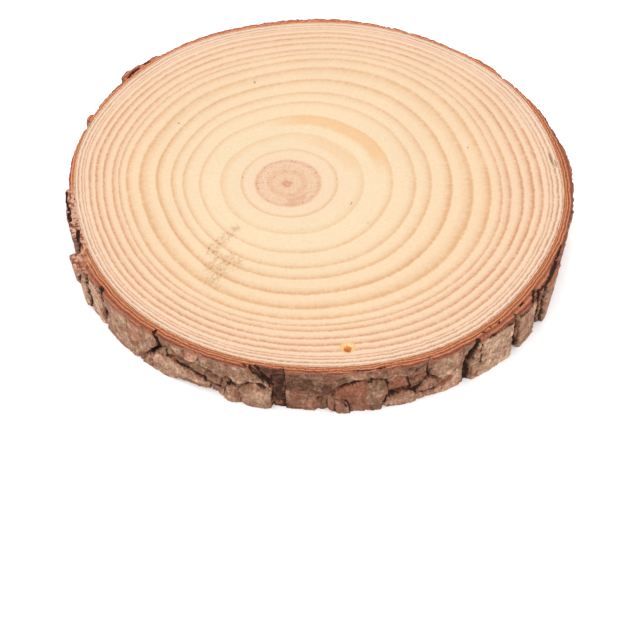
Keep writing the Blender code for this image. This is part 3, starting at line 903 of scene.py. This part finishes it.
def rest_of_bark():
    """Plates and fissures for the sides and back: long fissures, with a cross crack between most."""
    draw = random.Random(REST_SEED)
    tint = random.Random(TINT_SEED)
    plates = []
    fissures = []
    angle = REST_FROM
    left = [(angle, depth) for depth in REST_LEVELS]
    while angle < REST_TO - REST_STEP[1]:
        angle += draw.uniform(*REST_STEP)
        right = [(angle + draw.uniform(-REST_WANDER, REST_WANDER), depth) for depth in REST_LEVELS]
        width = draw.uniform(*REST_WIDTH)
        if draw.random() < REST_HIGH:
            top = REST_LIP[0]
        else:
            top = draw.uniform(*REST_LIP)
        end = width * draw.uniform(*REST_TAPER)
        start = width * REST_PINCH
        fissures.append((start, end, REST_FISSURE, REST_FISSURE, ((right[0][0], top), *right[1:])))
        split = draw.uniform(*REST_CROSS)
        slope = draw.uniform(*REST_SLOPE)
        lip = draw.uniform(*REST_LIP)
        high = ((left[0][0], lip), (right[0][0], lip), (right[1][0], split + slope),
                (left[-2][0], split - slope))
        low = ((left[-2][0], split - slope), (right[2][0], split + slope), right[-1], left[-1])
        for outline in (high, low):
            proud = draw.uniform(*REST_PROUD)
            plates.append((proud, tint.uniform(*TINT_PALE), tint.uniform(*TINT_RED), outline))
        left = right
    return tuple(plates), tuple(fissures)


def lattice_noise(places):
    """Smooth noise from a table of random numbers: -1 to 1, with lumps 1 across."""
    cell = np.floor(places).astype(np.int64)
    part = places - cell
    ease = part * part * (3.0 - 2.0 * part)
    total = np.zeros(len(places))
    for corner in itertools.product((0, 1), repeat=3):
        x, y, z = (cell + corner).T
        value = NOISE_TABLE[(x * 7129 + y * 15731 + z * 30011 + x * y * 13) % len(NOISE_TABLE)]
        total += value * np.prod(np.where(corner, ease, 1.0 - ease), axis=1)
    return total


def lumps(angle, depth, size, shift):
    """Rough noise over the bark, about -1 to 1, its lumps so many mm across. A shift gives other lumps."""
    around = WOOD_RADIUS / MM / size
    turn = np.radians(angle)
    places = np.stack((np.cos(turn) * around, np.sin(turn) * around, depth / size), axis=1) + shift
    return 1.2 * sum(lattice_noise(places * 2.0 ** octave) / 2.0 ** octave for octave in range(3))


def bark_surface(angle, depth):
    """Height in mm, paleness, redness, fissure depth in mm, shade, and mm to the nearest plate's edge."""
    rest_plates, rest_fissures = rest_of_bark()
    fray_x = lumps(angle, depth, FRAY_SIZE, 40.0) * FRAY
    y = depth + lumps(angle, depth, FRAY_SIZE, 80.0) * FRAY
    height, pale, red, shade, gap = np.zeros((5, len(angle)))
    edge = np.full_like(angle, 9.0)
    patchy = np.clip(0.85 + 0.5 * lumps(angle, depth, PATCH_SIZE, 100.0), PATCH_LEAST, 1.0)
    sheets = [(turn, plate) for turn in (0.0, 360.0) for plate in rest_plates + PLATES]
    for turn, (proud, tint, blush, corners) in sheets:
        inside = inside_by((angle + turn) * DEGREE + fray_x, y, unrolled(corners))
        cover = smooth_step(-0.5 * PLATE_EDGE, 0.5 * PLATE_EDGE, inside)
        # Painted shade: a proud plate throws a thin painted shadow line on what lies round it, and a sunken
        # one is painted darker inside
        above = proud - height
        line = np.where(above > 0.0, -inside, inside) - 0.1
        dark = smooth_step(0.1, 0.7, np.abs(above)) * np.exp(-(line / SHADE_LINE_WIDTH) ** 2) * (line > -0.4)
        shade = np.maximum(shade * (1.0 - cover), SHADE_LINE_DARK * dark * patchy)
        height += above * cover
        pale += (tint - pale) * cover
        red += (blush - red) * cover
        edge = np.where(inside > 0.0, inside, np.minimum(edge, -inside))
    cracks = [(turn, crack) for turn in (0.0, 360.0) for crack in FISSURES + rest_fissures]
    for turn, (first, last, start_deep, end_deep, points) in cracks:
        x = (angle + turn) * DEGREE + fray_x
        stretches = list(zip(unrolled(points), unrolled(points)[1:]))
        for number, (start, end) in enumerate(stretches):
            part, distance = along(x, y, start, end)
            reached = (number + part) / len(stretches)
            half = 0.5 * (first + (last - first) * reached)
            deep = start_deep + (end_deep - start_deep) * reached
            gap = np.maximum(gap, deep * (1.0 - smooth_step(0.35, 1.15, distance / half)))
            # Cracks get painted shade in their gaps: hairline cracks fainter than wide ones, and every crack
            # darker in some places
            dark = (0.75 + 0.25 * smooth_step(0.3, 0.7, half)) * patchy
            shade = np.maximum(shade, dark * (1.0 - smooth_step(0.6, 1.2, distance / half)))
            edge = np.minimum(edge, np.maximum(distance - half, 0.0))
    return height, pale, red, gap, shade, edge


def sawn_face(angle, out, reach, crumb):
    """The cut face, reach in mm from the wood: how far the saw tore it down, and its cracks, 0 to 1."""
    torn = CUT_RELIEF * np.abs(lumps(angle, reach, CUT_RELIEF_SIZE, 30.0)) * smooth_step(0.0, 0.3, out)
    slit = np.zeros_like(angle)
    for width, points in CUT_CRACKS:
        for start, end in zip(unrolled(points), unrolled(points)[1:]):
            distance = along(angle * DEGREE + 0.3 * crumb, reach, start, end)[1]
            slit = np.maximum(slit, 1.0 - smooth_step(0.25 * width, 0.6 * width, distance))
    return torn, slit


def roll_bark(mesh):
    """A plain ring, of radius 1 at the wood to 2 outside: its turn, share of the way out, and level."""
    cuts = [1.0 + step / BARK_CUT_STEPS for step in range(BARK_CUT_STEPS + 1)]
    downs = [THICKNESS * (1.0 - step / BARK_DOWN_STEPS) for step in range(1, BARK_DOWN_STEPS)]
    unders = [2.0 - step / BARK_UNDER_STEPS for step in range(BARK_UNDER_STEPS + 1)]
    profile = [(cut, THICKNESS) for cut in cuts]
    profile += [(2.0, down) for down in downs]
    profile += [(under, 0.0) for under in unders]
    roll_profile(mesh, profile, BARK_TURN_STEPS, closed=True)
    plain = np.array([point.co for point in mesh.verts])
    turn = np.arctan2(plain[:, 1], plain[:, 0])
    turn -= BARK_CROWDING * np.sin(turn - math.radians(BARK_FRONT))
    out = np.clip(np.hypot(plain[:, 0], plain[:, 1]) - 1.0, 0.0, 1.0)
    return np.arctan2(np.sin(turn), np.cos(turn)), out, plain[:, 2] / MM


def build_bark():
    mesh = bmesh.new()
    turn, out, level = roll_bark(mesh)
    angle = np.degrees(turn)
    depth = DEPTH - level
    on_top = depth < 1e-4
    on_bottom = level < 1e-4

    height, pale, red, gap, shade, edge = bark_surface(angle, depth)
    thick = bark_thickness(angle)
    rough = lumps(angle, depth, ROUGH_SIZE, 0.0) * ROUGHNESS
    crumb = lumps(angle, depth, CRUMB_SIZE, 20.0) * CRUMB
    # Plates break down to their edges in thin layers, which show as small steps
    ragged = edge + lumps(angle, depth, LAYER_RAGGED_SIZE, 60.0) * LAYER_RAGGED
    worn = LAYER_WEAR * (1.0 - smooth_step(0.0, LAYER_REACH, ragged))
    steps = np.round(worn / LAYER) * LAYER
    worn = (1.0 - LAYER_CRISP) * worn + LAYER_CRISP * steps
    skin = thick + height + rough + crumb - gap - worn * (gap < 0.3)
    skin = np.maximum(skin, np.minimum(BARK_LEAST, thick))
    radius = wood_edge(angle) + out * skin * MM

    low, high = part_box("wood_slice")
    x = np.clip(WOOD_MIDDLE[0] + radius * np.cos(turn), low.x, high.x)
    y = np.clip(WOOD_MIDDLE[1] + radius * np.sin(turn), low.y, high.y)
    torn, slit = sawn_face(angle, out, out * skin, crumb)
    slit *= on_top
    torn = np.maximum(torn, CUT_CRACK_DEPTH * slit)
    z = level - torn * on_top + torn * on_bottom
    for point, place in zip(mesh.verts, zip(x, y, z * MM)):
        point.co = place
    # Painted shade: all of it on the side, on the sawn top only near the outer edge and in the slits
    shade = np.maximum(shade * np.where(on_top, smooth_step(0.7, 1.0, out), 1.0), slit)
    bark = new_piece("bark", mesh)
    facts = {"shade": shade, "pale": pale, "red": red, "edge": ragged, "from_wood": out * skin, "out": out}
    for name, values in facts.items():
        attribute = bark.data.attributes.new(name, "FLOAT", "POINT")
        attribute.data.foreach_set("value", values.astype(np.float32))
    bark.data.shade_smooth()
    return bark


# The plates' faces, from the darkest to the palest, and their redder patches. The darkest colours also serve
# the dark plates that are painted shade.
CRUST_COLOURS = (
    (0.00, (54, 25, 17)),
    (0.32, (111, 73, 52)),
    (0.66, (180, 137, 110)),
    (1.00, (238, 196, 164)),
)
CRUST_RED = (192, 112, 84)

# The layers at the plates' edges, the torn fringe under the sawn rim, and the painted shade in the cracks
LAYER_DARK = (74, 38, 26)
LAYER_PALE = (176, 112, 86)
FRINGE_DARK = (128, 66, 46)
FRINGE_PALE = (186, 114, 88)
CRACK_SHADE_COLOUR = (44, 22, 15)

# The sawn layers, from the wood outwards: pale ones, dark ones, and the thin lines between them
CUT_PALE = (
    (0.00, (225, 148, 98)),
    (0.30, (236, 156, 109)),
    (0.60, (238, 158, 115)),
    (0.85, (226, 147, 112)),
    (1.00, (200, 131, 104)),
)
CUT_DARK = (
    (0.00, (180, 102, 60)),
    (0.30, (171, 93, 59)),
    (0.80, (149, 78, 54)),
    (1.00, (116, 58, 43)),
)
CUT_LINE = (110, 48, 30)
# Painted shade in the slits of the sawn bark
CUT_CRACK_SHADE_COLOUR = (36, 17, 12)

# Loose crumbs on the cut at the left
CRUMB_DARK = (112, 58, 42)
CRUMB_PALE = (240, 192, 165)


def bark_places(tree):
    """Where each point of the bark is, what its mesh says of it, and the noises that colour it."""
    place = add(tree, "ShaderNodeTexCoord", {}).outputs["Object"]
    x, y, z = split_up(tree, place)
    tall = add(tree, "ShaderNodeVectorMath", {0: place, 1: (1.0, 1.0, 0.25)}, operation="MULTIPLY").outputs[0]
    at = SimpleNamespace(
        place=place,
        x=x,
        y=y,
        z=z,
        blotch=noise_at(tree, place, 190.0, 4.0, 0.65),
        grit=noise_at(tree, place, 600.0, 3.0, 0.6),
        speck=noise_at(tree, place, 1500.0, 4.0, 0.75),
        fibre=noise_at(tree, tall, 1500.0, 3.0, 0.6),
    )
    for name in ("shade", "pale", "red", "edge", "from_wood", "out"):
        setattr(at, name, add(tree, "ShaderNodeAttribute", {}, attribute_name=name).outputs["Fac"])
    return at


def crust_colour(tree, at):
    """The weathered face of the plates: dark to pale brown, mottled, with redder patches."""
    pale = plus(tree, at.pale, centred(tree, at.blotch), 3.4)
    pale = plus(tree, pale, centred(tree, at.grit), 3.0)
    crust = ramp(tree, between_straight(tree, pale, -2.2, 1.3), shown_stops(CRUST_COLOURS))
    fine = plus(tree, 1.0, centred(tree, at.speck), 2.1)
    fine = plus(tree, fine, centred(tree, at.fibre), 1.5)
    patches = between(tree, noise_at(tree, at.place, 240.0, 3.0), 0.32, 0.58)
    reddish = maths(tree, "MINIMUM", times(tree, at.red, patches), 1.0)
    crust = blend_colours(tree, times(tree, reddish, 0.8), crust, shown(CRUST_RED))
    return scaled(tree, crust, fine)


def with_layers(tree, at, crust):
    """The layers that show as thin lines at a plate's edge, and torn just under the sawn rim, with the
    cracks' painted shade over them.
    """
    lines = plus(tree, times(tree, at.edge, 2.4), at.speck, 0.8)
    lines = between(tree, maths(tree, "FRACT", lines), 0.0, 0.45)
    near = between(tree, at.edge, 0.1, 1.1, 1.0, 0.0)
    broken = between(tree, noise_at(tree, at.place, 420.0), 0.42, 0.60)
    layers = blend_colours(tree, lines, shown(LAYER_DARK), shown(LAYER_PALE))
    colour = blend_colours(tree, times(tree, near, broken), crust, layers)
    colour = blend_colours(tree, at.crack, colour, shown(CRACK_SHADE_COLOUR))
    fringe = plus(tree, at.z, centred(tree, at.blotch), 5.0 * MM)
    fringe = plus(tree, fringe, centred(tree, at.speck), 2.5 * MM)
    fringe = between(tree, fringe, TOP - 1.1 * MM, TOP - 0.5 * MM, 0.0, 0.75)
    whole = maths(tree, "SUBTRACT", 1.0, at.crack)
    torn = blend_colours(tree, lines, shown(FRINGE_DARK), shown(FRINGE_PALE))
    return blend_colours(tree, times(tree, fringe, whole), colour, torn)


def crack_shade_strength(tree, at):
    """How dark the painted shade in the cracks is, 0 to 1: crisp, with broken edges, and a little softer
    shade round them.
    """
    crisp = plus(tree, at.shade, centred(tree, at.speck), 1.1)
    return maths(tree, "MAXIMUM", between(tree, crisp, 0.30, 0.70, 0.0, 0.95), times(tree, at.shade, 0.35))


def cut_colour(tree, at):
    """The cut through the layers, as lines that run along the bark, paler at the back and the left."""
    layer = plus(tree, times(tree, at.from_wood, 4.0), noise_at(tree, at.place, 110.0), 5.0)
    layer = plus(tree, layer, noise_at(tree, at.place, 330.0), 2.0)
    layer = plus(tree, layer, at.speck, 1.2)
    lines = noise_at(tree, joined(tree, layer, 0.37), 1.0, 3.0, 0.7)
    thin = noise_at(tree, joined(tree, layer, 8.43), 2.7)
    dark = ramp(tree, at.out, shown_stops(CUT_DARK))
    pale = ramp(tree, at.out, shown_stops(CUT_PALE))
    cut = blend_colours(tree, between(tree, lines, 0.40, 0.57), dark, pale)
    cut = blend_colours(tree, between(tree, thin, 0.38, 0.48, 0.95, 0.0), cut, shown(CUT_LINE))
    back = between(tree, at.y, 0.005, 0.05)
    left = times(tree, between(tree, at.x, -0.066, -0.076), 0.8)
    cut = scaled(tree, cut, plus(tree, 1.0, maths(tree, "MAXIMUM", back, left), 0.24))
    crumbs = between(tree, noise_at(tree, at.place, 900.0, 3.0), 0.40, 0.58)
    crumbs = blend_colours(tree, crumbs, shown(CRUMB_DARK), shown(CRUMB_PALE))
    cut = blend_colours(tree, times(tree, left, between(tree, at.y, -0.004, -0.016)), cut, crumbs)
    cut = scaled(tree, cut, plus(tree, 1.05, centred(tree, at.speck), 1.2))
    # Painted shade in the cracks and slits of the sawn bark
    return blend_colours(tree, at.crack, cut, shown(CUT_CRACK_SHADE_COLOUR))


def sawn_part(tree, at):
    """1 on the two sawn faces, and 0 on the side."""
    normal = add(tree, "ShaderNodeNewGeometry", {}).outputs["Normal"]
    level = maths(tree, "ABSOLUTE", split_up(tree, normal)[2])
    top = between(tree, at.z, TOP - 0.6 * MM, TOP - 0.4 * MM)
    bottom = between(tree, at.z, 0.4 * MM, 0.6 * MM, 1.0, 0.0)
    return times(tree, maths(tree, "MAXIMUM", top, bottom), between(tree, level, 0.45, 0.7))


def finish_bark():
    material, tree, shader = new_material("pine_bark")
    at = bark_places(tree)
    # at.crack is the painted shade in the cracks
    at.crack = crack_shade_strength(tree, at)
    side = with_layers(tree, at, crust_colour(tree, at))
    colour = blend_colours(tree, sawn_part(tree, at), side, cut_colour(tree, at))
    height = plus(tree, plus(tree, at.speck, at.blotch, 0.6), at.fibre, 0.5)
    finish_surface(tree, shader, colour, height, 0.8, 0.4 * MM)
    set_gloss(shader, 0.88, 0.2)
    return material


bark = build_bark()
bark.data.materials.append(finish_bark())


# Floor, light and camera
# A white floor that runs on past the picture, soft even light from above and in front, and a
# camera that looks down on the slice as the photograph does.
FLOOR_SIZE = 6.0
FLOOR_WHITE = (0.96, 0.96, 0.96, 1.0)
SKY_STRENGTH = 0.925
CAMERA_PLACE = (-0.2 * MM, -245.2 * MM, TOP + 222.3 * MM)
CAMERA_TILT = 39.25
CAMERA_LENS = 56.6

floor_mesh = bmesh.new()
bmesh.ops.create_grid(floor_mesh, x_segments=1, y_segments=1, size=0.5 * FLOOR_SIZE)
floor = to_object("floor", floor_mesh)
floor_material, _, floor_shader = new_material("white_floor")
floor_shader.inputs["Base Color"].default_value = FLOOR_WHITE
set_gloss(floor_shader, 0.9, 0.0)
floor.data.materials.append(floor_material)


def add_light(name, place, target, size, power):
    """A round lamp at a place, turned to face its target."""
    lamp = bpy.data.lights.new(name, "AREA")
    lamp.shape = "DISK"
    lamp.size = size
    lamp.energy = power
    holder = bpy.data.objects.new(name, lamp)
    holder.location = place
    holder.rotation_euler = (Vector(target) - Vector(place)).to_track_quat("-Z", "Y").to_euler()
    bpy.context.scene.collection.objects.link(holder)


add_light("overhead", (-0.4, -0.3, 2.4), (0.0, 0.0, 0.0), 2.6, 41.5)
add_light("front", (0.5, -2.2, 1.0), (0.0, 0.0, 0.01), 1.6, 16.0)

world = bpy.data.worlds.new("white")
world.use_nodes = True
world.node_tree.nodes["Background"].inputs["Color"].default_value = (1.0, 1.0, 1.0, 1.0)
world.node_tree.nodes["Background"].inputs["Strength"].default_value = SKY_STRENGTH
bpy.context.scene.world = world

camera_data = bpy.data.cameras.new("camera")
camera_data.lens = CAMERA_LENS
camera_data.sensor_width = 36.0
camera_data.clip_start = 0.01
camera = bpy.data.objects.new("camera", camera_data)
camera.location = CAMERA_PLACE
camera.rotation_euler = (math.radians(CAMERA_TILT), 0.0, 0.0)
bpy.context.scene.collection.objects.link(camera)
bpy.context.scene.camera = camera
bpy.context.scene.view_settings.view_transform = "Standard"
